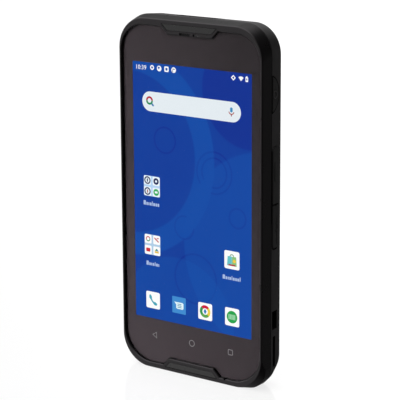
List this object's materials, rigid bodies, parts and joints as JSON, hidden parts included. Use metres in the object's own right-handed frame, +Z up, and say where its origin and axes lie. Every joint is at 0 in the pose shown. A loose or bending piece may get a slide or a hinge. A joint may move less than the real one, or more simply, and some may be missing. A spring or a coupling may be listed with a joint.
{
  "type": "barcode data terminal",
  "caption": "Slab-shaped handheld barcode terminal with notched cover glass and lit display, side keys, strap anchors, a scan window in its top edge and a lift-off battery cover.",
  "frame": {"origin": "middle of the bottom edge on the surface that the terminal stands on, half way through its thickness", "axes": "+Z up along the height, +X to the right seen from the front, display looks towards -Y"},
  "size_m": [0.0758, 0.0151, 0.156],
  "materials": {
    "bezel_plastic": "fine textured black, satin",
    "rear_plastic": "soft textured black, matt",
    "key_rubber": "moulded black, matt",
    "cover_glass": "clear, polished",
    "black_print": "black print behind glass",
    "display": "lit display panel",
    "foam": "black foam tape",
    "white_film": "white reflector film",
    "inlay": "bare plate, semi gloss",
    "steel": "nickel plated",
    "magnesium": "die cast",
    "seal_rubber": "silicone",
    "board": "green solder mask",
    "black_parts": "moulded component",
    "flex_film": "amber polyimide",
    "lens_glass": "coated lens",
    "window_glass": "dark red scan window",
    "gold": "gold plated",
    "battery_core": "dark sleeve on aluminium cell",
    "latch_plastic": "moulded, satin",
    "clear_plastic": "diffusing"
  },
  "bodies": {
    "housing": {"aimer_lens": "lens_glass", "antenna_carriers": "black_parts", "backlight_unit": "white_film", "battery_contact_block": "black_parts", "battery_contacts": "gold", "battery_tray": "black_parts", "board_components": "black_parts", "bottom_inlay_plate": "inlay", "camera_surround": "inlay", "camera_window": "lens_glass", "charging_port": "steel", "cover_glass": "cover_glass", "cradle_contact_carrier": "black_parts", "cradle_contacts": "gold", "display_flex": "flex_film", "display_panel": "display", "engine_bracket": "steel", "flash_lens": "clear_plastic", "front_housing": "bezel_plastic", "glass_adhesive_frame": "foam", "glass_border_print": "black_print", "housing_screws": "steel", "housing_seal": "seal_rubber", "illumination_lamps": "clear_plastic", "imager_lens": "lens_glass", "key_brackets": "steel", "key_flexes": "flex_film", "loudspeaker": "black_parts", "loudspeaker_grille": "bezel_plastic", "lower_board": "board", "main_board": "board", "memory_card_socket": "steel", "microphone": "steel", "mid_frame": "magnesium", "port_tongue": "black_parts", "rear_camera": "black_parts", "rear_camera_lens": "lens_glass", "rear_housing": "rear_plastic", "receiver_mesh": "steel", "receiver_speaker": "black_parts", "scan_engine": "black_parts", "scan_window": "window_glass", "scan_window_frame": "bezel_plastic", "shield_cans": "magnesium", "sim_socket": "steel", "status_light_lens": "clear_plastic", "top_inlay_plate": "inlay", "touch_flex": "flex_film", "vibration_motor": "steel"},
    "power_key": {"power_key": "key_rubber"},
    "volume_rocker": {"volume_rocker": "key_rubber"},
    "right_scan_key": {"right_scan_key": "key_rubber"},
    "left_scan_key": {"left_scan_key": "key_rubber"},
    "battery_cover": {"battery_cover": "rear_plastic", "cover_seal": "seal_rubber", "near_field_coil": "flex_film"},
    "battery_latch": {"battery_latch": "latch_plastic"},
    "battery": {"battery": "battery_core", "battery_terminals": "gold"}
  },
  "joints": [
    {"name": "power_key_press", "type": "slide", "parent": "housing", "child": "power_key", "axis": [-1, 0, 0], "range_m": [0, 0.00035], "stiffness_N_per_m": 4000},
    {"name": "volume_rocker_tilt", "type": "hinge", "parent": "housing", "child": "volume_rocker", "pos_m": [0.0345, 0.00175, 0.09277], "axis": [0, 1, 0], "range_deg": [-1.6, 1.6], "stiffness_Nm_per_rad": 1},
    {"name": "right_scan_key_press", "type": "slide", "parent": "housing", "child": "right_scan_key", "axis": [-1, 0, 0], "range_m": [0, 0.0004], "stiffness_N_per_m": 4000},
    {"name": "left_scan_key_press", "type": "slide", "parent": "housing", "child": "left_scan_key", "axis": [1, 0, 0], "range_m": [0, 0.0004], "stiffness_N_per_m": 4000},
    {"name": "battery_cover_lift", "type": "slide", "parent": "housing", "child": "battery_cover", "axis": [0, 1, 0], "range_m": [0, 0.03]},
    {"name": "battery_lift", "type": "slide", "parent": "housing", "child": "battery", "axis": [0, 1, 0], "range_m": [0, 0.015]},
    {"name": "battery_latch_slide", "type": "slide", "parent": "battery_cover", "child": "battery_latch", "axis": [0, 0, -1], "range_m": [0, 0.0025]}
  ],
  "couplings": [
    {"joint": "battery_lift", "follows": "battery_cover_lift", "ratio": 0.5}
  ]
}
